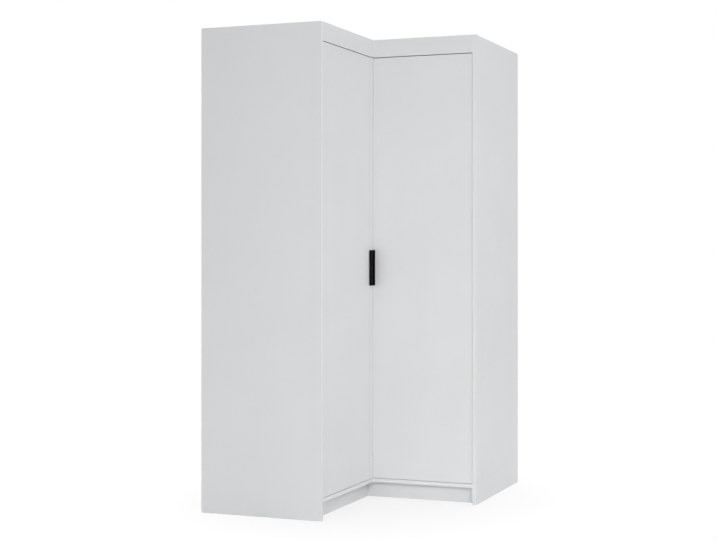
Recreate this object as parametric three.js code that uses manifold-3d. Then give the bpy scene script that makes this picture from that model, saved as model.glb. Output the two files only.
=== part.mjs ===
// Corner wardrobe: two wings that meet at a right angle, with one leaf on each wing.
// Lengths are in millimetres. x runs right, y runs back and z runs up.
// The origin lies on the floor, in the middle of the square that holds the footprint.
import * as THREE from "three";
import { mergeVertices } from "three/addons/utils/BufferGeometryUtils.js";
import Module from "manifold-3d";

const wasm = await Module();
wasm.setup();

// Whole wardrobe
const height = 2000;
const wingLength = 1030;
const wingDepth = 552;

// Carcass boards
const boardThickness = 16;
const backThickness = 3;
const fasciaHeight = 76;
const plinthHeight = 73;
const plinthSetback = 46;
const rearPostWidth = 40;

// Hat shelf
const hatSpaceHeight = 322;
const shelfSetback = 100;

// Leaves, and the fixed strip beside the inner corner
const leafThickness = 16;
const leafRecess = 2;
const topGap = 3;
const bottomGap = 1.5;
const sideGap = 2;
const fillerFace = 44;
const fillerGap = 1;
const cornerGap = 0.5;
const cornerPostDepth = 38;

// Clearances
const seatGap = 0.3;
const swingClearance = 0.36;
const mergeDistance = 0.0001;

// Handle: a channel that opens towards the right
const handleLength = 154;
const handleCentreHeight = 1007;
const handleEdgeInset = 1.5;
const handleReach = 42;
const handleFootWidth = 8;
const handleFootThickness = 4;
const handleLipWidth = 11.6;
const handleWall = 2.5;
const handleCornerChamfer = 1;
const handleScrewSpacing = 128;
const handleScrewInset = 4.6;
const handleScrewDiameter = 3;
const handleScrewBite = 2.8;
const screwHeadDiameter = 6;
const screwHeadHeight = 2;

// Cup hinges
const hingesPerLeaf = 4;
const hingeEndDistance = 100;
const cupDiameter = 35;
const cupEdgeDistance = 5;
const cupDepth = 12.2;
const cupWall = 1;
const cupFloor = 0.8;
const cupFlangeThickness = 1.2;
const cupFlangeOverlap = 2.5;
const cupEarWidth = 14;
const cupEarSpan = 54;
const pinDiameter = 3;
const armWidth = 12;
const armThickness = 3;
const armNoseWall = 1.2;
const armNeckLength = 17;
const armNeckAngle = 20;
const armStraightDepth = 40;
const armLandingLength = 20;
const armTailLength = 34;
const plateThickness = 2.5;
const plateWidth = 52;
const plateLength = 38;
const plateBlockHeight = 8.7;
const plateBlockWidth = 13;

// Magnetic catches
const catchLength = 46;
const catchDepth = 15;
const catchHeight = 14;
const catchEdgeDistance = 40;
const strikeLength = 38;
const strikeHeight = 12;
const strikeThickness = 1.5;

// Hanging rails
const railDiameter = 25;
const railWall = 1.5;
const railDrop = 70;
const railEndInset = 350;
const railCupWall = 2.5;
const railCupLength = 12;
const railCupFloor = 3;
const socketFlangeDiameter = 52;
const hangerWidth = 34;
const hangerPlateThickness = 3;
const hangerPlateLength = 30;
const hangerStemThickness = 4;
const hangerStemWidth = 16;

// Wall angles
const angleLeg = 40;
const angleWidth = 36;
const angleThickness = 3;
const angleEndDistance = 230;

// Levelling feet
const footPadDiameter = 38;
const footPadHeight = 9;
const footStemDiameter = 20;
const footHeadDiameter = 48;
const footHeadHeight = 5;
const footInset = 90;
const footSpread = 480;

// Facets of the round shapes
const cupFacets = 28;
const pinFacets = 10;
const railFacets = 24;
const footFacets = 20;
const screwFacets = 12;

// Levels
const floorBoardTop = plinthHeight + boardThickness;
const roofUnderside = height - boardThickness;
const fasciaBottom = height - fasciaHeight;
const leafBottom = floorBoardTop + bottomGap;
const leafTop = fasciaBottom - topGap;
const shelfTop = roofUnderside - hatSpaceHeight;
const shelfBottom = shelfTop - boardThickness;
const railLevel = shelfBottom - railDrop;

// Planes, measured from the rear corner, and then along a wing from its end panel
const endFace = wingLength - boardThickness;
const innerCorner = endFace - wingDepth;
const fillerStart = innerCorner - fillerFace;
const fillerDepth = leafRecess + leafThickness;
const leafBack = leafRecess + leafThickness;
const leafEnd = {
  left: fillerStart - fillerGap,
  right: innerCorner + leafRecess - cornerGap,
};

// Materials
function finish(color, roughness, metalness) {
  return new THREE.MeshStandardMaterial({ color, roughness, metalness });
}
const whiteBoard = finish(0xf0f1f2, 0.5, 0);
const backBoard = finish(0xe6e6e3, 0.7, 0);
const blackMetal = finish(0x141415, 0.4, 0.2);
const nickel = finish(0xb7b9bb, 0.3, 1);
const chrome = finish(0xd6d8da, 0.12, 1);
const blackPlastic = finish(0x1d1d1e, 0.6, 0);
const whitePlastic = finish(0xe8e9ea, 0.45, 0);
const zinc = finish(0xa9abad, 0.4, 1);

// Makes a solid that can be joined and cut from a closed geometry.
function solid(geometry) {
  const plain = new THREE.BufferGeometry();
  plain.setAttribute("position", geometry.getAttribute("position"));
  plain.setIndex(geometry.index);
  const merged = mergeVertices(plain, mergeDistance);
  const triangles = [];
  for (let i = 0; i < merged.index.count; i += 3) {
    const corners = [0, 1, 2].map((k) => merged.index.getX(i + k));
    if (new Set(corners).size === corners.length) triangles.push(...corners);
  }
  const vertProperties = merged.getAttribute("position").array;
  const triVerts = new Uint32Array(triangles);
  return new wasm.Manifold(new wasm.Mesh({ numProp: 3, vertProperties, triVerts }));
}

// Turns a solid back into a geometry.
function geometryOf(body) {
  const { vertProperties, triVerts } = body.getMesh();
  const geometry = new THREE.BufferGeometry();
  geometry.setAttribute("position", new THREE.BufferAttribute(vertProperties, 3));
  geometry.setIndex(new THREE.BufferAttribute(triVerts, 1));
  geometry.computeVertexNormals();
  return geometry;
}

function add(group, name, material, body) {
  const mesh = new THREE.Mesh(geometryOf(body), material);
  mesh.name = name;
  group.add(mesh);
}

// A block between two corners.
function block(low, high) {
  const geometry = new THREE.BoxGeometry(1, 1, 1);
  const position = geometry.getAttribute("position");
  for (let i = 0; i < position.count; i += 1) {
    const unit = [position.getX(i), position.getY(i), position.getZ(i)];
    position.setXYZ(i, ...unit.map((u, axis) => (u < 0 ? low[axis] : high[axis])));
  }
  return solid(geometry);
}

// Extrudes an outline from one level to another along z.
function extrude(outline, from, to) {
  const shape = new THREE.Shape(outline.map(([x, y]) => new THREE.Vector2(x, y)));
  const geometry = new THREE.ExtrudeGeometry(shape, { depth: 1, bevelEnabled: false });
  const position = geometry.getAttribute("position");
  for (let i = 0; i < position.count; i += 1) {
    position.setZ(i, position.getZ(i) > 0 ? to : from);
  }
  return geometry;
}

// Extrudes an outline of x and y along z.
function extrudeZ(outline, from, to) {
  return solid(extrude(outline, from, to));
}

// Extrudes an outline of x and z along y.
function extrudeY(outline, from, to) {
  return solid(extrude(outline, -to, -from).rotateX(Math.PI / 2));
}

// Extrudes an outline of y and z along x.
function extrudeX(outline, from, to) {
  return solid(extrude(outline, from, to).rotateX(Math.PI / 2).rotateZ(Math.PI / 2));
}

// A turned shape round y, from a profile of radius and y.
function turned(profile, facets) {
  const points = profile.map(([radius, y]) => new THREE.Vector2(radius, y));
  return new THREE.LatheGeometry(points, facets);
}

// A pin along z, round a point of x and y.
function pinAlongZ(x, y, diameter, length) {
  const geometry = new THREE.CylinderGeometry(diameter / 2, diameter / 2, length, pinFacets);
  return solid(geometry.rotateX(Math.PI / 2).translate(x, y, 0));
}

// The outline of a flat bar of one thickness that follows a bent path, with mitred bends.
function barOutline(path, thickness) {
  const points = path.map(([x, y]) => new THREE.Vector2(x, y));
  const runs = points.slice(1).map((point, i) => point.clone().sub(points[i]).normalize());
  const offsets = points.map((_, i) => {
    const before = runs[Math.max(i - 1, 0)];
    const after = runs[Math.min(i, runs.length - 1)];
    const middle = before.clone().add(after).normalize();
    const normal = new THREE.Vector2(-middle.y, middle.x);
    return normal.multiplyScalar(thickness / 2 / middle.dot(after));
  });
  const oneSide = points.map((point, i) => point.clone().add(offsets[i]));
  const otherSide = points.map((point, i) => point.clone().sub(offsets[i]));
  return [...oneSide, ...otherSide.reverse()].map((point) => point.toArray());
}

// A wing's own axes: x runs from the end panel's inner face to the corner, y from front to back.
function makeWing(side) {
  const wing = new THREE.Group();
  if (side === "left") {
    wing.position.set(wingDepth, -endFace, 0);
    wing.rotation.z = Math.PI / 2;
  } else {
    wing.position.set(endFace, -wingDepth, 0);
    wing.scale.x = -1;
  }
  return wing;
}

// Carcass, measured from the rear corner

function addEndPanels(carcass) {
  const left = block([0, -wingLength, 0], [wingDepth, -endFace, height]);
  const right = block([endFace, -wingDepth, 0], [wingLength, 0, height]);
  add(carcass, "left_end_panel", whiteBoard, left);
  add(carcass, "right_end_panel", whiteBoard, right);
}

function addBackPanels(carcass) {
  const left = block([0, -endFace, plinthHeight], [backThickness, -backThickness, height]);
  const right = block([0, -backThickness, plinthHeight], [endFace, 0, height]);
  add(carcass, "left_back_panel", backBoard, left);
  add(carcass, "right_back_panel", backBoard, right);
}

// The outline of a board that fills the footprint inside the panels, to a setback from the front.
function cornerOutline(setback) {
  const front = wingDepth - setback;
  return [
    [backThickness, -backThickness],
    [endFace, -backThickness],
    [endFace, -front],
    [front, -front],
    [front, -endFace],
    [backThickness, -endFace],
  ];
}

function addCornerBoards(carcass) {
  const floorBoard = extrudeZ(cornerOutline(0), plinthHeight, floorBoardTop);
  const roof = extrudeZ(cornerOutline(boardThickness), roofUnderside, height);
  const shelf = extrudeZ(cornerOutline(shelfSetback), shelfBottom, shelfTop);
  const postFace = backThickness + rearPostWidth;
  const notch = block(
    [0, -postFace, shelfBottom - boardThickness],
    [postFace, 0, shelfTop + boardThickness],
  );
  add(carcass, "bottom_panel", whiteBoard, floorBoard);
  add(carcass, "top_panel", whiteBoard, roof);
  add(carcass, "hat_shelf", whiteBoard, shelf.subtract(notch));
}

function addRearPost(carcass) {
  const face = backThickness + rearPostWidth;
  const post = block([backThickness, -face, floorBoardTop], [face, -backThickness, roofUnderside]);
  add(carcass, "rear_corner_post", whiteBoard, post);
}

// A pair of boards that meet at the inner corner: the right one runs past the left one's end.
function addFrontPair(carcass, name, setback, bottom, top) {
  const front = wingDepth - setback;
  const behind = front - boardThickness;
  const left = block([behind, -endFace, bottom], [front, -front, top]);
  const right = block([behind, -front, bottom], [endFace, -behind, top]);
  add(carcass, "left_" + name, whiteBoard, left);
  add(carcass, "right_" + name, whiteBoard, right);
}

function addInnerCorner(carcass) {
  const face = wingDepth - leafRecess;
  const behind = wingDepth - fillerDepth;
  const nearEdge = -(wingDepth + fillerFace);
  const farEdge = -(wingDepth - fillerDepth);
  const filler = block([behind, nearEdge, leafBottom], [face, farEdge, leafTop]);
  const post = block(
    [behind - cornerPostDepth, nearEdge, floorBoardTop],
    [behind, farEdge, roofUnderside],
  );
  add(carcass, "corner_filler", whiteBoard, filler);
  add(carcass, "front_corner_post", whiteBoard, post);
}

function foot() {
  const profile = [
    [0, 0],
    [footPadDiameter / 2, 0],
    [footPadDiameter / 2, footPadHeight / 2],
    [footStemDiameter / 2, footPadHeight],
    [footStemDiameter / 2, plinthHeight - footHeadHeight],
    [footHeadDiameter / 2, plinthHeight - footHeadHeight],
    [footHeadDiameter / 2, plinthHeight],
    [0, plinthHeight],
  ];
  return turned(profile, footFacets).rotateX(Math.PI / 2);
}

function addFeet(carcass) {
  const places = {
    rear_corner_foot: [footInset, -footInset],
    left_wing_foot: [footInset, -footInset - footSpread],
    right_wing_foot: [footInset + footSpread, -footInset],
  };
  for (const [name, [x, y]] of Object.entries(places)) {
    add(carcass, name, blackPlastic, solid(foot().translate(x, y, 0)));
  }
}

// Hinges, in a wing's own axes and with z measured from the hinge's middle

const cupRadius = cupDiameter / 2;
const cupBore = cupRadius - cupWall;
const cupCentre = sideGap + cupEdgeDistance + cupRadius;
const pinDepth = leafRecess + leafThickness / 2;

// The pin stands so far in that the leaf's corner swings past the end panel with room to spare.
const cornerReach = sideGap - swingClearance;
const pinInset = ((leafThickness / 2) ** 2 - cornerReach ** 2) / (2 * cornerReach);
const pinPlace = sideGap + pinInset;

function hingeCup() {
  const bottom = leafBack - cupDepth;
  const rim = leafBack + cupFlangeThickness;
  const flangeRadius = cupRadius + cupFlangeOverlap;
  const shell = turned(
    [
      [0, bottom],
      [cupRadius, bottom],
      [cupRadius, leafBack],
      [flangeRadius, leafBack],
      [flangeRadius, rim],
      [cupBore, rim],
      [cupBore, bottom + cupFloor],
      [0, bottom + cupFloor],
    ],
    cupFacets,
  );
  const earLow = cupCentre - cupEarWidth / 2;
  const earHigh = cupCentre + cupEarWidth / 2;
  const upperEar = block([earLow, leafBack, cupRadius], [earHigh, rim, cupEarSpan / 2]);
  const lowerEar = block([earLow, leafBack, -cupEarSpan / 2], [earHigh, rim, -cupRadius]);
  const wallMiddle = cupRadius - cupWall / 2;
  const pinHalf = Math.sqrt(wallMiddle ** 2 - (cupCentre - pinPlace) ** 2);
  const pin = pinAlongZ(pinPlace, pinDepth, pinDiameter, 2 * pinHalf);
  return solid(shell.translate(cupCentre, 0, 0)).add(upperEar).add(lowerEar).add(pin);
}

function hingeArm() {
  const angle = THREE.MathUtils.degToRad(armNeckAngle);
  const elbow = [
    pinPlace + armNeckLength * Math.cos(angle),
    pinDepth + armNeckLength * Math.sin(angle),
  ];
  const knee = pinDepth + armStraightDepth;
  const landing = seatGap + plateThickness + plateBlockHeight + seatGap + armThickness / 2;
  const path = [
    [pinPlace, pinDepth],
    elbow,
    [elbow[0], knee],
    [landing, knee + armLandingLength],
    [landing, knee + armLandingLength + armTailLength],
  ];
  const half = armWidth / 2;
  const strip = extrudeZ(barOutline(path, armThickness), -half, half);
  const boreDiameter = pinDiameter + 2 * seatGap;
  const nose = pinAlongZ(pinPlace, pinDepth, boreDiameter + 2 * armNoseWall, armWidth);
  const bore = pinAlongZ(pinPlace, pinDepth, boreDiameter, 2 * armWidth);
  return strip.add(nose).subtract(bore);
}

function hingePlate() {
  const base = seatGap + plateThickness;
  const top = base + plateBlockHeight;
  const outline = [
    [seatGap, -plateWidth / 2],
    [base, -plateWidth / 2],
    [base, -plateBlockWidth / 2],
    [top, -plateBlockWidth / 2],
    [top, plateBlockWidth / 2],
    [base, plateBlockWidth / 2],
    [base, plateWidth / 2],
    [seatGap, plateWidth / 2],
  ];
  const start = pinDepth + armStraightDepth + armLandingLength;
  return extrudeY(outline, start, start + plateLength);
}

const hingeLevels = Array.from({ length: hingesPerLeaf }, (_, i) => {
  const span = leafTop - leafBottom - 2 * hingeEndDistance;
  return leafBottom + hingeEndDistance + (span * i) / (hingesPerLeaf - 1);
});

function addHinges(wing, side) {
  hingeLevels.forEach((level, i) => {
    const hinge = new THREE.Group();
    hinge.position.z = level;
    wing.add(hinge);
    add(hinge, side + "_hinge_cup_" + (i + 1), nickel, hingeCup());
    add(hinge, side + "_hinge_arm_" + (i + 1), nickel, hingeArm());
    add(hinge, side + "_hinge_plate_" + (i + 1), nickel, hingePlate());
  });
}

// Leaves

const handleEnd = leafEnd.right - handleEdgeInset;
const handleScrewPlace = handleEnd - handleScrewInset;
const handleScrewLevels = [-handleScrewSpacing / 2, handleScrewSpacing / 2].map(
  (offset) => handleCentreHeight + offset,
);

// A round hole along y, between two depths.
function holeAlongY(x, z, diameter, from, to, facets) {
  const profile = [
    [0, from],
    [diameter / 2, from],
    [diameter / 2, to],
    [0, to],
  ];
  return solid(turned(profile, facets).translate(x, 0, z));
}

function leaf(side) {
  let board = block([sideGap, leafRecess, leafBottom], [leafEnd[side], leafBack, leafTop]);
  for (const level of hingeLevels) {
    const pocketBottom = leafBack - cupDepth - seatGap;
    const pocketDiameter = cupDiameter + 2 * seatGap;
    board = board.subtract(
      holeAlongY(cupCentre, level, pocketDiameter, pocketBottom, leafBack + cupWall, cupFacets),
    );
  }
  return board;
}

function screwHoles(board, from, to) {
  let drilled = board;
  for (const level of handleScrewLevels) {
    const diameter = handleScrewDiameter + 2 * seatGap;
    drilled = drilled.subtract(
      holeAlongY(handleScrewPlace, level, diameter, from, to, screwFacets),
    );
  }
  return drilled;
}

function handle() {
  const front = leafRecess - handleReach;
  const outline = [
    [handleEnd, leafRecess],
    [handleEnd - handleFootWidth, leafRecess],
    [handleEnd - handleFootWidth, leafRecess - handleFootThickness],
    [handleEnd - handleWall, leafRecess - handleFootThickness],
    [handleEnd - handleWall, front + handleWall],
    [handleEnd - handleLipWidth, front + handleWall],
    [handleEnd - handleLipWidth, front],
    [handleEnd - handleCornerChamfer, front],
    [handleEnd, front + handleCornerChamfer],
  ];
  const low = handleCentreHeight - handleLength / 2;
  const channel = extrudeZ(outline, low, low + handleLength);
  return screwHoles(channel, leafRecess - handleScrewBite - seatGap, leafBack);
}

function handleScrew(level) {
  const radius = handleScrewDiameter / 2;
  const profile = [
    [0, leafRecess - handleScrewBite],
    [radius, leafRecess - handleScrewBite],
    [radius, leafBack],
    [screwHeadDiameter / 2, leafBack],
    [screwHeadDiameter / 2, leafBack + screwHeadHeight / 2],
    [radius, leafBack + screwHeadHeight],
    [0, leafBack + screwHeadHeight],
  ];
  return solid(turned(profile, screwFacets).translate(handleScrewPlace, 0, level));
}

function addHandle(wing) {
  add(wing, "handle", blackMetal, handle());
  handleScrewLevels.forEach((level, i) => {
    add(wing, "handle_screw_" + (i + 1), zinc, handleScrew(level));
  });
}

function addLeaf(wing, side) {
  const board = leaf(side);
  const holed = side === "right" ? screwHoles(board, 0, leafBack + seatGap) : board;
  add(wing, side + "_door", whiteBoard, holed);
}

// A magnetic catch on the bottom panel, and the plate on the leaf that it holds
function addCatch(wing, side) {
  const middle = leafEnd[side] - catchEdgeDistance - catchLength / 2;
  const strikeBack = leafBack + strikeThickness;
  const catchFront = strikeBack + seatGap;
  const magnet = block(
    [middle - catchLength / 2, catchFront, floorBoardTop],
    [middle + catchLength / 2, catchFront + catchDepth, floorBoardTop + catchHeight],
  );
  const strike = block(
    [middle - strikeLength / 2, leafBack, leafBottom],
    [middle + strikeLength / 2, strikeBack, leafBottom + strikeHeight],
  );
  add(wing, side + "_catch", whitePlastic, magnet);
  add(wing, side + "_strike", zinc, strike);
}

// Hanging rails, in a wing's own axes

const railDepth = wingDepth / 2;
const railStart = seatGap + railCupFloor + seatGap;
const railEnd = endFace - railEndInset;
const railCupBore = railDiameter / 2 + seatGap;
const railCupRadius = railCupBore + railCupWall;

// Turns a shape made round y so that it lies round the rail, with y along the rail.
function alongRail(geometry, start) {
  return solid(geometry.rotateZ(-Math.PI / 2).translate(start, railDepth, railLevel));
}

function rail() {
  const radius = railDiameter / 2;
  const length = railEnd - railStart;
  const profile = [
    [radius, 0],
    [radius, length],
    [radius - railWall, length],
    [radius - railWall, 0],
    [radius, 0],
  ];
  return alongRail(turned(profile, railFacets), railStart);
}

function railSocket() {
  const mouth = railCupFloor + railCupLength;
  const profile = [
    [0, 0],
    [socketFlangeDiameter / 2, 0],
    [socketFlangeDiameter / 2, railCupFloor],
    [railCupRadius, railCupFloor],
    [railCupRadius, mouth],
    [railCupBore, mouth],
    [railCupBore, railCupFloor],
    [0, railCupFloor],
  ];
  return alongRail(turned(profile, railFacets), seatGap);
}

function railHanger() {
  const cupStart = railEnd - railCupLength;
  const cupEnd = railEnd + seatGap + railCupFloor;
  const length = cupEnd - cupStart;
  const profile = [
    [0, length - railCupFloor],
    [railCupBore, length - railCupFloor],
    [railCupBore, 0],
    [railCupRadius, 0],
    [railCupRadius, length],
    [0, length],
  ];
  const cup = alongRail(turned(profile, railFacets), cupStart);
  const stem = block(
    [cupEnd - hangerStemThickness, railDepth - hangerStemWidth / 2, railLevel + railCupBore],
    [cupEnd, railDepth + hangerStemWidth / 2, shelfBottom],
  );
  const plate = block(
    [cupEnd - hangerPlateLength, railDepth - hangerWidth / 2, shelfBottom - hangerPlateThickness],
    [cupEnd, railDepth + hangerWidth / 2, shelfBottom],
  );
  return cup.add(stem).add(plate);
}

function addRail(wing, side) {
  add(wing, side + "_rail", chrome, rail());
  add(wing, side + "_rail_socket", chrome, railSocket());
  add(wing, side + "_rail_hanger", chrome, railHanger());
}

// A steel angle that ties the roof to the wall through the back panel
function addWallAngle(wing, side) {
  const back = wingDepth - backThickness - seatGap;
  const outline = [
    [back, roofUnderside],
    [back - angleLeg, roofUnderside],
    [back - angleLeg, roofUnderside - angleThickness],
    [back - angleThickness, roofUnderside - angleThickness],
    [back - angleThickness, roofUnderside - angleLeg],
    [back, roofUnderside - angleLeg],
  ];
  const angle = extrudeX(outline, angleEndDistance, angleEndDistance + angleWidth);
  add(wing, side + "_wall_angle", zinc, angle);
}

// Assembly

function makeWardrobe() {
  const wardrobe = new THREE.Group();
  const carcass = new THREE.Group();
  carcass.position.set(-wingLength / 2, wingLength / 2, 0);
  wardrobe.add(carcass);
  addEndPanels(carcass);
  addBackPanels(carcass);
  addCornerBoards(carcass);
  addRearPost(carcass);
  addFrontPair(carcass, "fascia", 0, fasciaBottom, height);
  addFrontPair(carcass, "plinth", plinthSetback, 0, plinthHeight);
  addInnerCorner(carcass);
  addFeet(carcass);
  for (const side of ["left", "right"]) {
    const wing = makeWing(side);
    carcass.add(wing);
    addLeaf(wing, side);
    addHinges(wing, side);
    addCatch(wing, side);
    addRail(wing, side);
    addWallAngle(wing, side);
    if (side === "right") addHandle(wing);
  }
  return wardrobe;
}

export default makeWardrobe();
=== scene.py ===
"""The looks of a white corner wardrobe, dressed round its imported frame.

Lengths are in metres. +X runs right, +Y runs back and +Z runs up.
"""

import math
from collections import namedtuple

import bmesh
import bpy
from mathutils import Matrix, Vector


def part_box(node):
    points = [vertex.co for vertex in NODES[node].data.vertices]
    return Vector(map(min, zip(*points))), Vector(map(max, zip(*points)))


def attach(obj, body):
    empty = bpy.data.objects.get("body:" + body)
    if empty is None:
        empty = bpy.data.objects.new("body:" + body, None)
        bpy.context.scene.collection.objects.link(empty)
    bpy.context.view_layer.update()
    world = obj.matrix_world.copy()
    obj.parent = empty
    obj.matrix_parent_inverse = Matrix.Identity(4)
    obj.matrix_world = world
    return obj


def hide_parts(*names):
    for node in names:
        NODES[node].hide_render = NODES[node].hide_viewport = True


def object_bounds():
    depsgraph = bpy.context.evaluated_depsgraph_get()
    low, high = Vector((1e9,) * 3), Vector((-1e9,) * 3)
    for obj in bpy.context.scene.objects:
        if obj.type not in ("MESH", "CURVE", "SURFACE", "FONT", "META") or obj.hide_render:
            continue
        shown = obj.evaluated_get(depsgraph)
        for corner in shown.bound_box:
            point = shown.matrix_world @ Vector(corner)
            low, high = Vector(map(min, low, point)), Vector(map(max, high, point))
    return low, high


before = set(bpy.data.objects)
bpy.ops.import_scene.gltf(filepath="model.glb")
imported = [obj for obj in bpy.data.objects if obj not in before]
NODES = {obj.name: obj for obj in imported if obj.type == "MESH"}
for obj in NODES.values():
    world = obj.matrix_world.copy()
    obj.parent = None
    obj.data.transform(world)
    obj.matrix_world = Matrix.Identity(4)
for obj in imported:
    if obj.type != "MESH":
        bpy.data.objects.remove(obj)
CAD_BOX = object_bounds()
MM = 0.001
UP = Vector((0, 0, 1))
BACKWARDS = Vector((0, 1, 0))

# Picture, in pixels, and the camera's sensor, in millimetres
PICTURE_WIDTH = 716
PICTURE_HEIGHT = 540
SENSOR_WIDTH = 36.0

# Camera, from a fit of the wardrobe's edges to the photograph at a limited sideways shift.
# Its axis meets the picture at the centre pixel
FOCAL_PIXELS = 1225.6
CENTRE_PIXEL_X = 537.0
CENTRE_PIXEL_Y = 249.4
CAMERA_RIGHT_OF_CORNER = 2.8752
CAMERA_FRONT_OF_WALL = 5.4224
CAMERA_HEIGHT = 1.0870
CAMERA_YAW = 0.3123

# Light. A lamp's size is its width and height, and its spread is in degrees
AMBIENT_LEVEL = 0.515
AMBIENT_COLOR = (0.945, 0.966, 1.0)
LAMP_COLOR = (1.0, 0.975, 0.956)
Lamp = namedtuple("Lamp", "place target size spread watts")
LAMPS = {
    "key_lamp": Lamp((5.0, -7.2, 3.4), (0.1, -0.2, 0.6), (1.6, 1.6), 180, 161),
    "front_lamp": Lamp((3.03, -8.24, 3.38), (0.9, -0.3, 0.3), (1.0, 1.0), 36, 5.2),
    "side_lamp": Lamp((3.6, -0.6, 1.6), (0.2, -0.3, 1.2), (1.6, 1.6), 180, 14.8),
    "low_lamp": Lamp((1.2, -4.2, 0.5), (0.27, -0.1, 0.02), (0.6, 0.1), 8, 0.038),
    "top_lamp": Lamp((-0.2, 0.4, 5.5), (0.0, 0.2, 0.0), (2.0, 2.0), 180, 32),
    "back_lamp": Lamp((-3.6, 3.6, 2.2), (0.0, 0.0, 0.9), (2.0, 2.0), 180, 110),
}

# Floor, which is seen as partly white near the wardrobe and fades to all white further out
FLOOR_HALF_WIDTH = 14.0
FLOOR_SQUARES = 8
FLOOR_ROUGHNESS = 0.9
FLOOR_SPECULAR = 0.1
NEAR_WHITE_SHARE = 0.72
FADE_START = 0.35
FADE_END = 0.85

# Edges
BOARD_BEVEL = 0.8 * MM
METAL_BEVEL = 0.35 * MM
SOFT_BEVEL = 0.7 * MM
SMOOTH_SEGMENTS = 3
PLAIN_SEGMENTS = 2
ROUND_PROFILE = 0.5
NORMAL_WEIGHT = 100
WELD_DISTANCE = 0.001 * MM
SHARP_ANGLE = math.radians(30)

# Facets of round shapes
RAIL_FACETS = 72
FOOT_FACETS = 56
CAP_FACETS = 36
HANDLE_SCREW_FACETS = 28
SCREW_FACETS = 24
NAIL_FACETS = 14

# Fittings
HINGES_PER_LEAF = 4
CATCH_EAR_LENGTH = 9 * MM
CATCH_EAR_HEIGHT = 3.5 * MM
# Each copy of a small fitting is turned by this much more, so that recesses don't line up
TURN_STEP = math.radians(137.5)


def srgb(*levels):
    """Linear colour from 0 to 255 display levels."""
    shares = [level / 255 for level in levels]
    return tuple(s / 12.92 if s <= 0.04045 else ((s + 0.055) / 1.055) ** 2.4 for s in shares)


WHITE_FACE = srgb(225, 227, 228)
WHITE_FACE_WARM = srgb(224, 225, 225)
# Edge banding, a little lighter than the faces, partly as a painted highlight of its rounded edges
EDGE_BAND_WITH_HIGHLIGHT = srgb(227, 229, 230)
FIBREBOARD_LIGHT = srgb(186, 152, 112)
FIBREBOARD_DARK = srgb(150, 116, 80)
FIBREBOARD_WHITE = srgb(228, 229, 228)
HANDLE_BLACK = srgb(9, 9, 10)
NICKEL = srgb(196, 198, 200)
CHROME = srgb(224, 226, 228)
ZINC = srgb(182, 185, 188)
FOOT_BLACK = srgb(30, 30, 31)
PLASTIC_WHITE = srgb(232, 233, 233)
FLOOR_PALE = srgb(250, 250, 250)


# Materials

# A noise texture mostly stays between these two values
NOISE_LOW = 0.3
NOISE_HIGH = 0.7
# The colour sockets of a Mix node
MIX_COLOR_INPUTS = (6, 7)
MIX_COLOR_OUTPUT = 2


def combine(tree, operation, first, second):
    """One share, from 0 to 1, from two node outputs."""
    node = tree.nodes.new("ShaderNodeMath")
    node.operation = operation
    node.use_clamp = True
    tree.links.new(first, node.inputs[0])
    tree.links.new(second, node.inputs[1])
    return node.outputs[0]


class Shader:
    """A material with one Principled shader, and short calls for its nodes."""

    def __init__(self, name, color, roughness, metallic=0.0):
        self.material = bpy.data.materials.new(name)
        self.material.use_nodes = True
        self.tree = self.material.node_tree
        self.bsdf = self.tree.nodes["Principled BSDF"]
        self.bsdf.inputs["Base Color"].default_value = (*color, 1)
        self.bsdf.inputs["Roughness"].default_value = roughness
        self.bsdf.inputs["Metallic"].default_value = metallic
        self.place = self.tree.nodes.new("ShaderNodeTexCoord")

    def noise(self, scale, detail, stretch=(1, 1, 1)):
        """Noise in the object's own space, at a scale in waves per metre."""
        mapping = self.tree.nodes.new("ShaderNodeMapping")
        mapping.inputs["Scale"].default_value = stretch
        noise = self.tree.nodes.new("ShaderNodeTexNoise")
        noise.inputs["Scale"].default_value = scale
        noise.inputs["Detail"].default_value = detail
        self.tree.links.new(self.place.outputs["Object"], mapping.inputs["Vector"])
        self.tree.links.new(mapping.outputs["Vector"], noise.inputs["Vector"])
        return noise.outputs["Fac"]

    def spread(self, value, low, high, from_low=NOISE_LOW, from_high=NOISE_HIGH):
        """Maps a value from one range to another."""
        node = self.tree.nodes.new("ShaderNodeMapRange")
        node.inputs["From Min"].default_value = from_low
        node.inputs["From Max"].default_value = from_high
        node.inputs["To Min"].default_value = low
        node.inputs["To Max"].default_value = high
        self.tree.links.new(value, node.inputs["Value"])
        return node.outputs["Result"]

    def mix(self, share, first, second):
        """Mixes two colours. Each is a colour or another node's output."""
        node = self.tree.nodes.new("ShaderNodeMix")
        node.data_type = "RGBA"
        self.tree.links.new(share, node.inputs["Factor"])
        for index, color in zip(MIX_COLOR_INPUTS, (first, second)):
            if isinstance(color, tuple):
                node.inputs[index].default_value = (*color, 1)
            else:
                self.tree.links.new(color, node.inputs[index])
        return node.outputs[MIX_COLOR_OUTPUT]

    def facing(self, axis, start, full):
        """Runs from 0 to 1 as a face of the piece turns towards an axis of the piece."""
        dot = self.tree.nodes.new("ShaderNodeVectorMath")
        dot.operation = "DOT_PRODUCT"
        dot.inputs[1].default_value = axis
        self.tree.links.new(self.place.outputs["Normal"], dot.inputs[0])
        return self.spread(dot.outputs["Value"], 0.0, 1.0, start, full)

    def set_color(self, output):
        self.tree.links.new(output, self.bsdf.inputs["Base Color"])

    def vary_roughness(self, scale, detail, low, high):
        """Lets the roughness wander between two values."""
        output = self.spread(self.noise(scale, detail), low, high)
        self.tree.links.new(output, self.bsdf.inputs["Roughness"])

    def add_grain(self, scale, detail, depth, strength):
        """Raises a fine grain on the surface."""
        node = self.tree.nodes.new("ShaderNodeBump")
        node.inputs["Strength"].default_value = strength
        node.inputs["Distance"].default_value = depth
        self.tree.links.new(self.noise(scale, detail), node.inputs["Height"])
        self.tree.links.new(node.outputs["Normal"], self.bsdf.inputs["Normal"])


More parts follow.
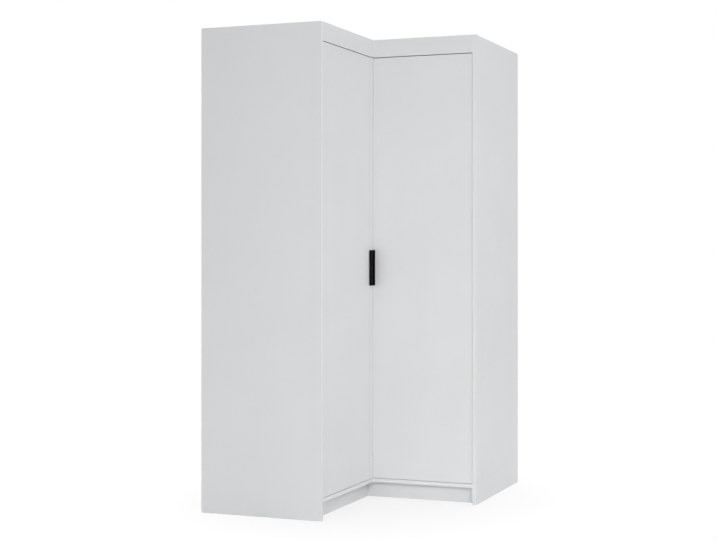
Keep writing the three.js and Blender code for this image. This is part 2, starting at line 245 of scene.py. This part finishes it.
def white_board(axis_name, axis):
    """White melamine facing with a fine pearl grain, and a slightly lighter band on its edges: the
    edge banding, lightened a little as a painted highlight of the rounded edges.
    """
    shader = Shader("white_board_" + axis_name, WHITE_FACE, roughness=0.42)
    mottle = shader.spread(shader.noise(scale=5.0, detail=3.0), 0.0, 1.0)
    face = shader.mix(mottle, WHITE_FACE, WHITE_FACE_WARM)
    front = shader.facing(axis, start=0.75, full=0.9)
    back = shader.facing(tuple(-x for x in axis), start=0.75, full=0.9)
    either = combine(shader.tree, "ADD", front, back)
    # The edges get the lighter edge colour, which is partly a painted highlight
    shader.set_color(shader.mix(either, EDGE_BAND_WITH_HIGHLIGHT, face))
    shader.vary_roughness(scale=60.0, detail=2.0, low=0.38, high=0.48)
    shader.add_grain(scale=900.0, detail=2.0, depth=0.03 * MM, strength=0.5)
    return shader.material


def back_board(name, outward):
    """Thin fibreboard: white lacquer inside, and brown with fine fibres outside."""
    shader = Shader(name, FIBREBOARD_WHITE, roughness=0.6)
    fibre_noise = shader.noise(scale=800.0, detail=4.0, stretch=(1, 1, 0.6))
    fibres = shader.spread(fibre_noise, 0.0, 0.75)
    clouds = shader.spread(shader.noise(scale=9.0, detail=3.0), 0.0, 0.5)
    brown = shader.mix(fibres, FIBREBOARD_LIGHT, FIBREBOARD_DARK)
    brown = shader.mix(clouds, brown, FIBREBOARD_LIGHT)
    outside = shader.facing(outward, start=0.4, full=0.6)
    shader.set_color(shader.mix(outside, FIBREBOARD_WHITE, brown))
    shader.vary_roughness(scale=300.0, detail=2.0, low=0.55, high=0.75)
    shader.add_grain(scale=700.0, detail=4.0, depth=0.05 * MM, strength=0.5)
    return shader.material


def handle_black():
    """Satin black powder coat with a fine orange peel."""
    shader = Shader("handle_black", HANDLE_BLACK, roughness=0.4)
    shader.bsdf.inputs["Specular IOR Level"].default_value = 0.12
    shader.vary_roughness(scale=500.0, detail=3.0, low=0.34, high=0.46)
    shader.add_grain(scale=2200.0, detail=2.0, depth=0.03 * MM, strength=0.5)
    return shader.material


def plated(name, color, low, high):
    """Plated metal whose roughness varies a little over the surface."""
    shader = Shader(name, color, roughness=(low + high) / 2, metallic=1.0)
    shader.vary_roughness(scale=260.0, detail=3.0, low=low, high=high)
    shader.add_grain(scale=1500.0, detail=2.0, depth=0.004 * MM, strength=0.4)
    return shader.material


def moulded(name, color):
    """Moulded plastic with a fine spark-eroded grain."""
    shader = Shader(name, color, roughness=0.5)
    shader.vary_roughness(scale=400.0, detail=2.0, low=0.45, high=0.6)
    shader.add_grain(scale=1800.0, detail=2.0, depth=0.02 * MM, strength=0.6)
    return shader.material


# White boards, by the axis that their broad faces look along
BOARD_MATERIALS = {
    "x": white_board("x", (1, 0, 0)),
    "y": white_board("y", (0, 1, 0)),
    "z": white_board("z", (0, 0, 1)),
}
BOARDS = {
    "x": [
        "right_end_panel", "left_fascia", "left_plinth", "corner_filler",
        "front_corner_post", "left_door",
    ],
    "y": ["left_end_panel", "right_fascia", "right_plinth", "right_door", "rear_corner_post"],
    "z": ["bottom_panel", "top_panel", "hat_shelf"],
}
BACK_BOARDS = {
    "left_back_panel": back_board("left_back_board", (-1, 0, 0)),
    "right_back_panel": back_board("right_back_board", (0, 1, 0)),
}
HANDLE_MATERIAL = handle_black()

# Materials of the fittings, by their slot
SLOT_MATERIALS = {
    "nickel": plated("nickel", NICKEL, low=0.22, high=0.34),
    "chrome": plated("chrome", CHROME, low=0.06, high=0.12),
    "zinc": plated("zinc", ZINC, low=0.34, high=0.5),
    "foot_plastic": moulded("foot_plastic", FOOT_BLACK),
    "catch_plastic": moulded("catch_plastic", PLASTIC_WHITE),
}
# A word in a fitting's name, its slot, and its edges' width and segments. The first that fits
# is taken
NAMED_FITTINGS = (
    ("hinge", "nickel", METAL_BEVEL, PLAIN_SEGMENTS),
    ("rail", "chrome", METAL_BEVEL, PLAIN_SEGMENTS),
    ("foot", "foot_plastic", METAL_BEVEL, PLAIN_SEGMENTS),
    ("catch", "catch_plastic", SOFT_BEVEL, SMOOTH_SEGMENTS),
    ("strike", "zinc", METAL_BEVEL, PLAIN_SEGMENTS),
    ("angle", "zinc", METAL_BEVEL, PLAIN_SEGMENTS),
    ("screw", "zinc", METAL_BEVEL, PLAIN_SEGMENTS),
)


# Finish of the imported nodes


def paint(piece, material):
    piece.data.materials.clear()
    piece.data.materials.append(material)


def finish_node(node, material, width, segments):
    """Paints a node, rounds its sharp edges and smooths its shading, with its mesh left as it is."""
    paint(node, material)
    for polygon in node.data.polygons:
        polygon.use_smooth = True
    weld = node.modifiers.new("weld", "WELD")
    weld.merge_threshold = WELD_DISTANCE
    bevel = node.modifiers.new("bevel", "BEVEL")
    bevel.width = width
    bevel.segments = segments
    bevel.limit_method = "ANGLE"
    bevel.angle_limit = SHARP_ANGLE
    normals = node.modifiers.new("normals", "WEIGHTED_NORMAL")
    normals.weight = NORMAL_WEIGHT
    normals.keep_sharp = True


def finish_nodes():
    """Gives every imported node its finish."""
    for axis, names in BOARDS.items():
        for name in names:
            finish_node(NODES[name], BOARD_MATERIALS[axis], BOARD_BEVEL, SMOOTH_SEGMENTS)
    for name, material in BACK_BOARDS.items():
        finish_node(NODES[name], material, METAL_BEVEL, SMOOTH_SEGMENTS)
    for name, node in NODES.items():
        for word, slot, width, segments in NAMED_FITTINGS:
            if word in name:
                finish_node(node, SLOT_MATERIALS[slot], width, segments)
                break
    finish_node(NODES["handle"], HANDLE_MATERIAL, SOFT_BEVEL, SMOOTH_SEGMENTS)


# Meshes


def mesh_from(name, built):
    """Turns what was built into a mesh whose faces look outwards."""
    bmesh.ops.recalc_face_normals(built, faces=built.faces)
    mesh = bpy.data.meshes.new(name)
    built.to_mesh(mesh)
    built.free()
    return mesh


def turned_mesh(name, profile, facets):
    """A closed turned shape round Z, from a profile of radius and height.

    The profile starts and ends on the axis, or else goes round a ring and comes back.
    """
    built = bmesh.new()
    turns = [2 * math.pi * i / facets for i in range(facets)]
    rings = []
    for radius, height in profile:
        if radius == 0:
            rings.append([built.verts.new((0, 0, height))])
            continue
        spots = [(radius * math.cos(turn), radius * math.sin(turn), height) for turn in turns]
        rings.append([built.verts.new(spot) for spot in spots])
    if len(rings[0]) > 1:
        rings.append(rings[0])
    for lower, upper in zip(rings, rings[1:]):
        for i in range(facets):
            j = (i + 1) % facets
            corners = [lower[i % len(lower)], lower[j % len(lower)]]
            corners += [upper[j % len(upper)], upper[i % len(upper)]]
            built.faces.new(list(dict.fromkeys(corners)))
    return mesh_from(name, built)


def cross_cutter(name, reach, width, depth, top):
    """A cross of two bars that taper downwards, as a screw's recess."""
    lower_taper = 0.55
    overshoot = 0.2
    built = bmesh.new()
    for quarter in range(2):
        made = bmesh.ops.create_cube(built, size=1)["verts"]
        for vert in made:
            is_top = vert.co.z > 0
            taper = 1.0 if is_top else lower_taper
            vert.co.x *= 2 * reach * taper
            vert.co.y *= width * taper
            vert.co.z = top + depth * overshoot if is_top else top - depth
        turn = Matrix.Rotation(quarter * math.pi / 2, 3, "Z")
        bmesh.ops.rotate(built, verts=made, matrix=turn)
    return mesh_from(name, built)


def cut_mesh(mesh, cutter):
    """The mesh with the cutter taken out of it."""
    body = bpy.data.objects.new("cut_body", mesh)
    tool = bpy.data.objects.new("cut_tool", cutter)
    for piece in (body, tool):
        bpy.context.scene.collection.objects.link(piece)
    boolean = body.modifiers.new("cut", "BOOLEAN")
    boolean.operation = "DIFFERENCE"
    boolean.solver = "EXACT"
    boolean.use_self = True
    boolean.object = tool
    depsgraph = bpy.context.evaluated_depsgraph_get()
    built = bmesh.new()
    built.from_mesh(body.evaluated_get(depsgraph).to_mesh())
    bmesh.ops.remove_doubles(built, verts=built.verts, dist=WELD_DISTANCE)
    bmesh.ops.dissolve_degenerate(built, edges=built.edges, dist=WELD_DISTANCE)
    for piece in (body, tool):
        bpy.data.objects.remove(piece)
    return mesh_from(mesh.name + "_cut", built)


def screw_mesh(diameter):
    """A low raised head with a cross recess."""
    radius = diameter / 2
    height = 0.26 * diameter
    profile = [
        (0, -0.1 * height),
        (radius, -0.1 * height),
        (radius, 0.15 * height),
        (0.9 * radius, 0.6 * height),
        (0.65 * radius, 0.9 * height),
        (0.35 * radius, height),
        (0, height),
    ]
    head = turned_mesh("screw_head", profile, SCREW_FACETS)
    cutter = cross_cutter(
        "screw_cross", reach=0.52 * radius, width=0.24 * radius, depth=0.55 * height, top=height,
    )
    return cut_mesh(head, cutter)


def flush_screw_mesh(diameter):
    """A countersunk head that lies flush but for a fine rim, with a cross recess."""
    radius = diameter / 2
    rim = 0.2 * MM
    profile = [
        (0, -0.3 * MM),
        (radius, -0.3 * MM),
        (radius, 0.1 * MM),
        (0.94 * radius, rim),
        (0, rim),
    ]
    head = turned_mesh("flush_head", profile, SCREW_FACETS)
    cutter = cross_cutter(
        "flush_cross", reach=0.6 * radius, width=0.26 * radius, depth=1 * MM, top=rim,
    )
    return cut_mesh(head, cutter)


def cap_mesh(diameter):
    """A thin domed cover cap with a rim step."""
    radius = diameter / 2
    profile = [
        (0, -0.1 * MM),
        (radius, -0.1 * MM),
        (radius, 0.5 * MM),
        (radius - 0.5 * MM, 0.9 * MM),
        (radius - 2.5 * MM, 1.0 * MM),
        (radius - 2.9 * MM, 0.75 * MM),
        (radius - 3.3 * MM, 0.9 * MM),
        (0, 1.1 * MM),
    ]
    return turned_mesh("cover_cap", profile, CAP_FACETS)


def nail_mesh(diameter):
    """A flat nail head with a rounded rim."""
    radius = diameter / 2
    profile = [
        (0, -0.2 * MM),
        (radius, -0.2 * MM),
        (radius, 0.2 * MM),
        (0.8 * radius, 0.45 * MM),
        (0, 0.5 * MM),
    ]
    return turned_mesh("nail_head", profile, NAIL_FACETS)


HINGE_SCREW = screw_mesh(7 * MM)
SMALL_SCREW = screw_mesh(5 * MM)
FLUSH_SCREW = flush_screw_mesh(5 * MM)
COVER_CAP = cap_mesh(17 * MM)
NAIL = nail_mesh(4.5 * MM)


# Places and pieces


def middle(low, high):
    return (low + high) / 2


class Wing:
    """A wing's own axes: along from its end panel's inner face, and deep from its front edge."""

    def __init__(self, side):
        low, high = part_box(side + "_end_panel")
        self.side = side
        self.leaf = side + "_leaf"
        if side == "left":
            self.origin = Vector((high.x, high.y, 0))
            self.along = Vector((0, 1, 0))
            self.deep = Vector((-1, 0, 0))
        else:
            self.origin = Vector((low.x, low.y, 0))
            self.along = Vector((-1, 0, 0))
            self.deep = Vector((0, 1, 0))

    def name(self, ending):
        return self.side + "_" + ending

    def point(self, along, deep, height):
        """The point at a place along, deep and up."""
        return self.origin + along * self.along + deep * self.deep + height * UP

    def span(self, node):
        """Lowest and highest place of a node along, deep and up."""
        corners = [corner - self.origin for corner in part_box(self.name(node))]
        places = [(c.dot(self.along), c.dot(self.deep), c.z) for c in corners]
        return [min(pair) for pair in zip(*places)], [max(pair) for pair in zip(*places)]

    def round_span(self, node):
        """Start, radius and length of a round node that lies along the wing."""
        low, high = self.span(node)
        start = self.point(low[0], middle(low[1], high[1]), middle(low[2], high[2]))
        return start, (high[2] - low[2]) / 2, high[0] - low[0]


def finish_piece(name, built, body, slot):
    """Makes an object of a built mesh, attached to its body, with the material of its slot."""
    mesh = mesh_from(name, built)
    for polygon in mesh.polygons:
        polygon.use_smooth = True
    mesh.set_sharp_from_angle(angle=SHARP_ANGLE)
    piece = bpy.data.objects.new(name, mesh)
    bpy.context.scene.collection.objects.link(piece)
    paint(piece, SLOT_MATERIALS[slot])
    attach(piece, body)
    return piece


def round_edges(built, edges, width):
    bmesh.ops.bevel(
        built, geom=edges, offset=width, segments=PLAIN_SEGMENTS, profile=ROUND_PROFILE,
        affect="EDGES",
    )


def slabs(wing, name, spans, bevel, slot):
    """One piece of flat slabs with rounded edges, each between two corners in the wing's axes."""
    built = bmesh.new()
    for first, last in spans:
        corners = [wing.point(*first), wing.point(*last)]
        low = Vector(map(min, *corners))
        high = Vector(map(max, *corners))
        made = bmesh.ops.create_cube(built, size=1)["verts"]
        for vert in made:
            sides = zip(vert.co, low, high)
            vert.co = Vector(upper if sign > 0 else lower for sign, lower, upper in sides)
        edges = dict.fromkeys(edge for vert in made for edge in vert.link_edges)
        round_edges(built, list(edges), bevel)
    return finish_piece(wing.name(name), built, "carcass", slot)


def prism(wing, name, outline, start, end, bevel, slot):
    """One piece whose outline, along and up, is drawn out between two depths and rounded."""
    built = bmesh.new()
    front = [built.verts.new(wing.point(along, start, height)) for along, height in outline]
    back = [built.verts.new(wing.point(along, end, height)) for along, height in outline]
    built.faces.new(front)
    built.faces.new(back[::-1])
    for i in range(len(outline)):
        j = (i + 1) % len(outline)
        built.faces.new([front[j], front[i], back[i], back[j]])
    round_edges(built, list(built.edges), bevel)
    return finish_piece(wing.name(name), built, "carcass", slot)


def stamp(name, pattern, places, body, slot):
    """One piece that holds a copy of a small mesh at each place, turned to face its direction."""
    built = bmesh.new()
    for i, (point, direction) in enumerate(places):
        copy = pattern.copy()
        facing = direction.to_track_quat("Z", "Y").to_matrix().to_4x4()
        turn = Matrix.Rotation(i * TURN_STEP, 4, "Z")
        copy.transform(Matrix.Translation(point) @ facing @ turn)
        built.from_mesh(copy)
        bpy.data.meshes.remove(copy)
    return finish_piece(name, built, body, slot)


def stand_in(node, ending, shape, point, direction, body, slot):
    """Shows a node by a finer shape of the same size."""
    piece = stamp(node + ending, shape, [(point, direction)], body, slot)
    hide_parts(node)


# Screws, poles, caps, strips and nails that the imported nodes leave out


def hinge_screws(wing):
    """Two screws in each cup's ears and two in each mounting plate."""
    ear_offset = 23.4 * MM
    plate_offset = 18.5 * MM
    plate_thickness = 2.5 * MM
    cup_places = []
    plate_places = []
    for i in range(1, HINGES_PER_LEAF + 1):
        low, high = wing.span(f"hinge_cup_{i}")
        along = middle(low[0], high[0])
        height = middle(low[2], high[2])
        for offset in (-ear_offset, ear_offset):
            cup_places.append((wing.point(along, high[1], height + offset), wing.deep))
        low, high = wing.span(f"hinge_plate_{i}")
        deep = middle(low[1], high[1])
        for offset in (-plate_offset, plate_offset):
            spot = wing.point(low[0] + plate_thickness, deep, height + offset)
            plate_places.append((spot, wing.along))
    stamp(wing.name("cup_screws"), HINGE_SCREW, cup_places, wing.leaf, "nickel")
    stamp(wing.name("plate_screws"), HINGE_SCREW, plate_places, "carcass", "nickel")


def arm_screws(wing):
    """The fixing screw and the adjusting screw on each hinge arm's tail."""
    tail_face = 14.8 * MM
    shares_of_depth = (0.72, 0.92)
    places = []
    for i in range(1, HINGES_PER_LEAF + 1):
        low, high = wing.span(f"hinge_arm_{i}")
        height = middle(low[2], high[2])
        for share in shares_of_depth:
            deep = low[1] + share * (high[1] - low[1])
            places.append((wing.point(tail_face, deep, height), wing.along))
    stamp(wing.name("arm_screws"), HINGE_SCREW, places, "carcass", "nickel")


def rail_screws(wing):
    """Screws in the rail's socket flange and in its hanger's plate."""
    flange_face = 3.3 * MM
    flange_offset = 20.5 * MM
    hanger_plate = 3 * MM
    hanger_inset = 8 * MM
    hanger_offset = 10 * MM
    low, high = wing.span("rail_socket")
    deep = middle(low[1], high[1])
    height = middle(low[2], high[2])
    places = []
    for offset in (flange_offset, -flange_offset):
        places.append((wing.point(flange_face, deep, height + offset), wing.along))
    low, high = wing.span("rail_hanger")
    deep = middle(low[1], high[1])
    for offset in (-hanger_offset, hanger_offset):
        spot = wing.point(low[0] + hanger_inset, deep + offset, high[2] - hanger_plate)
        places.append((spot, -UP))
    stamp(wing.name("rail_screws"), SMALL_SCREW, places, "carcass", "chrome")


def angle_screws(wing):
    """Screws in both legs of the wall angle."""
    thickness = 3 * MM
    from_edge = 12 * MM
    shares_of_length = (0.25, 0.75)
    low, high = wing.span("wall_angle")
    places = []
    for share in shares_of_length:
        along = low[0] + share * (high[0] - low[0])
        upright = wing.point(along, high[1] - thickness, low[2] + from_edge)
        level = wing.point(along, low[1] + from_edge, high[2] - thickness)
        places += [(upright, -wing.deep), (level, -UP)]
    stamp(wing.name("angle_screws"), HINGE_SCREW, places, "carcass", "zinc")


def catch_screws(wing):
    """A screw in each of the catch's ears."""
    low, high = wing.span("catch")
    deep = middle(low[1], high[1])
    ear_middle = CATCH_EAR_LENGTH / 2
    places = []
    for along in (low[0] + ear_middle, high[0] - ear_middle):
        places.append((wing.point(along, deep, low[2] + CATCH_EAR_HEIGHT), UP))
    stamp(wing.name("catch_screws"), SMALL_SCREW, places, "carcass", "zinc")


def catch_poles(wing):
    """Two steel poles that stand just proud of the catch's face and clear of the strike."""
    from_end = CATCH_EAR_LENGTH + 6 * MM
    rises = (6 * MM, 9 * MM)
    thickness = 1 * MM
    proud = 0.15 * MM
    sunk = 0.4 * MM
    bevel = 0.15 * MM
    low, high = wing.span("catch")
    spans = []
    for rise in rises:
        first = (low[0] + from_end, low[1] - proud, low[2] + rise)
        last = (high[0] - from_end, low[1] + sunk, low[2] + rise + thickness)
        spans.append((first, last))
    slabs(wing, "catch_poles", spans, bevel, "zinc")


def strike_screws(wing):
    """Two flush screws in the strike on the leaf."""
    shares_of_length = (0.2, 0.8)
    low, high = wing.span("strike")
    height = middle(low[2], high[2])
    places = []
    for share in shares_of_length:
        along = low[0] + share * (high[0] - low[0])
        places.append((wing.point(along, high[1], height), wing.deep))
    stamp(wing.name("strike_screws"), FLUSH_SCREW, places, wing.leaf, "zinc")


def cover_caps(wing):
    """Caps over the cam fittings that join the level boards to the end panel."""
    from_end = 34 * MM
    from_front = 150 * MM
    from_back = 90 * MM
    deep_end = wing.span("end_panel")[1][1]
    heights = (
        (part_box("top_panel")[0].z, -UP),
        (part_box("hat_shelf")[0].z, -UP),
        (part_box("bottom_panel")[1].z, UP),
    )
    places = []
    for height, direction in heights:
        for deep in (from_front, deep_end - from_back):
            places.append((wing.point(from_end, deep, height), direction))
    stamp(wing.name("cover_caps"), COVER_CAP, places, "carcass", "catch_plastic")


def back_strip(wing):
    """A plastic strip that joins the two halves of the back board, with a lip on each face."""
    half_width = 11 * MM
    lip = 1.2 * MM
    bevel = 0.5 * MM
    low, high = wing.span("back_panel")
    along = middle(low[0], high[0])
    start = along - half_width
    end = along + half_width
    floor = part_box("bottom_panel")[1].z
    shelf_low, shelf_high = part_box("hat_shelf")
    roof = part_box("top_panel")[0].z
    lips = [
        ((start, high[1], low[2]), (end, high[1] + lip, high[2])),
        ((start, low[1] - lip, floor), (end, low[1], shelf_low.z)),
        ((start, low[1] - lip, shelf_high.z), (end, low[1], roof)),
    ]
    slabs(wing, "back_strip", lips, bevel, "catch_plastic")


def back_nails(wing):
    """Nails round the back panel's rim, through it into the boards."""
    spacing = 150 * MM
    inset = 9 * MM
    low, high = wing.span("back_panel")
    width = high[0] - low[0]
    height = high[2] - low[2]
    columns = round(width / spacing)
    rows = round(height / spacing)
    places = []
    for i in range(columns + 1):
        along = low[0] + inset + (width - 2 * inset) * i / columns
        places += [(along, low[2] + inset), (along, high[2] - inset)]
    for i in range(1, rows):
        level = low[2] + inset + (height - 2 * inset) * i / rows
        places += [(low[0] + inset, level), (high[0] - inset, level)]
    spots = [(wing.point(along, high[1], level), wing.deep) for along, level in places]
    stamp(wing.name("back_nails"), NAIL, spots, "carcass", "zinc")


# Finer shapes for plain nodes


def catch_housing(wing):
    """The catch's housing, with a low ear at each end."""
    bevel = 0.6 * MM
    low, high = wing.span("catch")
    start = low[0] + CATCH_EAR_LENGTH
    end = high[0] - CATCH_EAR_LENGTH
    ear_top = low[2] + CATCH_EAR_HEIGHT
    outline = [
        (low[0], low[2]),
        (high[0], low[2]),
        (high[0], ear_top),
        (end, ear_top),
        (end, high[2]),
        (start, high[2]),
        (start, ear_top),
        (low[0], ear_top),
    ]
    housing = prism(wing, "catch_housing", outline, low[1], high[1], bevel, "catch_plastic")
    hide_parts(wing.name("catch"))


def round_rail(wing):
    """The hanging rail, finely rounded, with eased ends."""
    wall = 1.5 * MM
    ease = 0.3 * MM
    start, radius, length = wing.round_span("rail")
    inner = radius - wall
    profile = [
        (radius, ease),
        (radius, length - ease),
        (radius - ease, length),
        (inner + ease, length),
        (inner, length - ease),
        (inner, ease),
        (inner + ease, 0),
        (radius - ease, 0),
    ]
    tube = turned_mesh("rail_tube", profile, RAIL_FACETS)
    stand_in(wing.name("rail"), "_tube", tube, start, wing.along, "carcass", "chrome")


def round_socket(wing):
    """The rail's end socket: a flange with a rolled rim, and a cup with an eased mouth."""
    flange = 3 * MM
    cup_wall = 2.5 * MM
    rail_clearance = 0.3 * MM
    start, radius, mouth = wing.round_span("rail_socket")
    bore = wing.round_span("rail")[1] + rail_clearance
    cup = bore + cup_wall
    profile = [
        (0, 0),
        (radius, 0),
        (radius, 0.55 * flange),
        (radius - 0.4 * MM, 0.8 * flange),
        (radius - 1.2 * MM, flange),
        (cup + 1.6 * MM, flange),
        (cup + 0.4 * MM, flange + 0.5 * MM),
        (cup, flange + 1.6 * MM),
        (cup, mouth - 0.6 * MM),
        (cup - 0.6 * MM, mouth),
        (bore + 0.5 * MM, mouth),
        (bore, mouth - 0.5 * MM),
        (bore, flange),
        (0, flange),
    ]
    shape = turned_mesh("rail_cup", profile, RAIL_FACETS)
    stand_in(wing.name("rail_socket"), "_cup", shape, start, wing.along, "carcass", "chrome")


def levelling_foot(node):
    """A foot with a rounded pad, a threaded stem, a lock collar and a flat head."""
    pad = 19 * MM
    stem = 10 * MM
    collar = 13 * MM
    head_height = 5 * MM
    thread_start = 12 * MM
    thread_end = 36 * MM
    thread_depth = 0.9 * MM
    threads = 12
    low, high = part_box(node)
    height = high.z - low.z
    head = (high.x - low.x) / 2
    pitch = (thread_end - thread_start) / threads
    profile = [
        (0, 0),
        (pad - 2.4 * MM, 0),
        (pad - 0.7 * MM, 0.6 * MM),
        (pad, 2 * MM),
        (pad, 3.8 * MM),
        (pad - 0.8 * MM, 5 * MM),
        (stem + 2 * MM, 7.6 * MM),
        (stem, 9.4 * MM),
    ]
    for i in range(threads):
        level = thread_start + i * pitch
        profile += [(stem, level), (stem - thread_depth, level + pitch / 2)]
    profile += [
        (stem, thread_end),
        (collar - 0.6 * MM, thread_end + 0.2 * MM),
        (collar, thread_end + 0.8 * MM),
        (collar, thread_end + 7.2 * MM),
        (collar - 0.6 * MM, thread_end + 7.8 * MM),
        (stem, thread_end + 8 * MM),
        (stem, height - head_height - 2 * MM),
        (stem + 2 * MM, height - head_height),
        (head - 0.6 * MM, height - head_height),
        (head, height - head_height + 0.8 * MM),
        (head, height),
        (0, height),
    ]
    spot = Vector((middle(low.x, high.x), middle(low.y, high.y), low.z))
    shape = turned_mesh("foot_shape", profile, FOOT_FACETS)
    stand_in(node, "_body", shape, spot, UP, "carcass", "foot_plastic")


def handle_screw(node):
    """A handle screw with a rounded, cross-recessed head on the leaf's rear face."""
    shank = 1.5 * MM
    head_height = 2 * MM
    low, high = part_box(node)
    head = (high.x - low.x) / 2
    length = high.y - low.y
    profile = [
        (0, 0),
        (shank, 0),
        (shank, length - head_height),
        (head, length - head_height),
        (head, length - 0.6 * head_height),
        (0.9 * head, length - 0.25 * head_height),
        (0.6 * head, length),
        (0, length),
    ]
    screw = turned_mesh("handle_screw_shape", profile, HANDLE_SCREW_FACETS)
    cutter = cross_cutter(
        "handle_screw_cross",
        reach=0.55 * head, width=0.26 * head, depth=0.5 * head_height, top=length,
    )
    shape = cut_mesh(screw, cutter)
    spot = Vector((middle(low.x, high.x), low.y, middle(low.z, high.z)))
    stand_in(node, "_fine", shape, spot, BACKWARDS, "right_leaf", "zinc")


def add_fittings():
    for side in ("left", "right"):
        wing = Wing(side)
        hinge_screws(wing)
        arm_screws(wing)
        rail_screws(wing)
        angle_screws(wing)
        catch_housing(wing)
        catch_screws(wing)
        catch_poles(wing)
        strike_screws(wing)
        cover_caps(wing)
        back_strip(wing)
        back_nails(wing)
        round_rail(wing)
        round_socket(wing)
    for foot in ("rear_corner_foot", "left_wing_foot", "right_wing_foot"):
        levelling_foot(foot)
    for screw in ("handle_screw_1", "handle_screw_2"):
        handle_screw(screw)


# Floor, light and camera


def seen_directly(tree):
    """1 on a ray of the camera, of gloss or through glass, and 0 on a ray that lights the object."""
    path = tree.nodes.new("ShaderNodeLightPath")
    seen = path.outputs["Is Camera Ray"]
    for ray in ("Is Glossy Ray", "Is Transmission Ray"):
        seen = combine(tree, "MAXIMUM", seen, path.outputs[ray])
    return seen


def mix_into(tree, share, plain, white, output):
    """Sends the plain shader to an output, mixed with the white one by the share."""
    mix = tree.nodes.new("ShaderNodeMixShader")
    tree.links.new(share, mix.inputs[0])
    tree.links.new(plain, mix.inputs[1])
    tree.links.new(white, mix.inputs[2])
    tree.links.new(mix.outputs[0], output)


def plain_white(tree, kind):
    """The output of a new node of plain white light."""
    white = tree.nodes.new(kind)
    white.inputs["Color"].default_value = (1, 1, 1, 1)
    white.inputs["Strength"].default_value = 1.0
    return white.outputs[0]


def add_world():
    """Even light for the object, before a background that is seen as white."""
    world = bpy.data.worlds.new("studio")
    bpy.context.scene.world = world
    world.use_nodes = True
    tree = world.node_tree
    ambient = tree.nodes["Background"]
    ambient.inputs["Color"].default_value = (*AMBIENT_COLOR, 1)
    ambient.inputs["Strength"].default_value = AMBIENT_LEVEL
    white = plain_white(tree, "ShaderNodeBackground")
    surface = tree.nodes["World Output"].inputs["Surface"]
    mix_into(tree, seen_directly(tree), ambient.outputs[0], white, surface)


def add_floor():
    """A wide pale floor that keeps the wardrobe's shadow and fades to white further out."""
    built = bmesh.new()
    bmesh.ops.create_grid(
        built, x_segments=FLOOR_SQUARES, y_segments=FLOOR_SQUARES, size=FLOOR_HALF_WIDTH,
    )
    floor = bpy.data.objects.new("floor", mesh_from("floor", built))
    bpy.context.scene.collection.objects.link(floor)
    shader = Shader("floor", FLOOR_PALE, FLOOR_ROUGHNESS)
    shader.bsdf.inputs["Specular IOR Level"].default_value = FLOOR_SPECULAR
    tree = shader.tree
    distance = tree.nodes.new("ShaderNodeVectorMath")
    distance.operation = "LENGTH"
    tree.links.new(shader.place.outputs["Object"], distance.inputs[0])
    fade = shader.spread(distance.outputs["Value"], NEAR_WHITE_SHARE, 1.0, FADE_START, FADE_END)
    share = combine(tree, "MULTIPLY", seen_directly(tree), fade)
    white = plain_white(tree, "ShaderNodeEmission")
    surface = tree.nodes["Material Output"].inputs["Surface"]
    mix_into(tree, share, shader.bsdf.outputs[0], white, surface)
    paint(floor, shader.material)


def add_lamp(name, settings):
    """A soft lamp that makes no glare: gloss shows the white studio alone."""
    data = bpy.data.lights.new(name, "AREA")
    data.shape = "RECTANGLE"
    data.size, data.size_y = settings.size
    data.spread = math.radians(settings.spread)
    data.energy = settings.watts
    data.color = LAMP_COLOR
    lamp = bpy.data.objects.new(name, data)
    lamp.visible_glossy = False
    lamp.location = settings.place
    aim = Vector(settings.target) - Vector(settings.place)
    lamp.rotation_euler = aim.to_track_quat("-Z", "Y").to_euler()
    bpy.context.scene.collection.objects.link(lamp)


def add_camera():
    """The photograph's view: level, from the right, with the frame moved sideways off its axis."""
    data = bpy.data.cameras.new("camera")
    data.sensor_fit = "HORIZONTAL"
    data.sensor_width = SENSOR_WIDTH
    data.lens = FOCAL_PIXELS / PICTURE_WIDTH * SENSOR_WIDTH
    data.shift_x = (PICTURE_WIDTH / 2 - CENTRE_PIXEL_X) / PICTURE_WIDTH
    data.shift_y = (CENTRE_PIXEL_Y - PICTURE_HEIGHT / 2) / PICTURE_WIDTH
    camera = bpy.data.objects.new("camera", data)
    corner = Vector((CAD_BOX[0].x, CAD_BOX[1].y, 0))
    reach = Vector((CAMERA_RIGHT_OF_CORNER, -CAMERA_FRONT_OF_WALL, CAMERA_HEIGHT))
    camera.location = corner + reach
    camera.rotation_euler = (math.pi / 2, 0, CAMERA_YAW)
    bpy.context.scene.collection.objects.link(camera)
    bpy.context.scene.camera = camera


add_camera()
finish_nodes()
add_fittings()
add_world()
add_floor()
for lamp_name, lamp_settings in LAMPS.items():
    add_lamp(lamp_name, lamp_settings)
bpy.context.scene.view_settings.view_transform = "Standard"
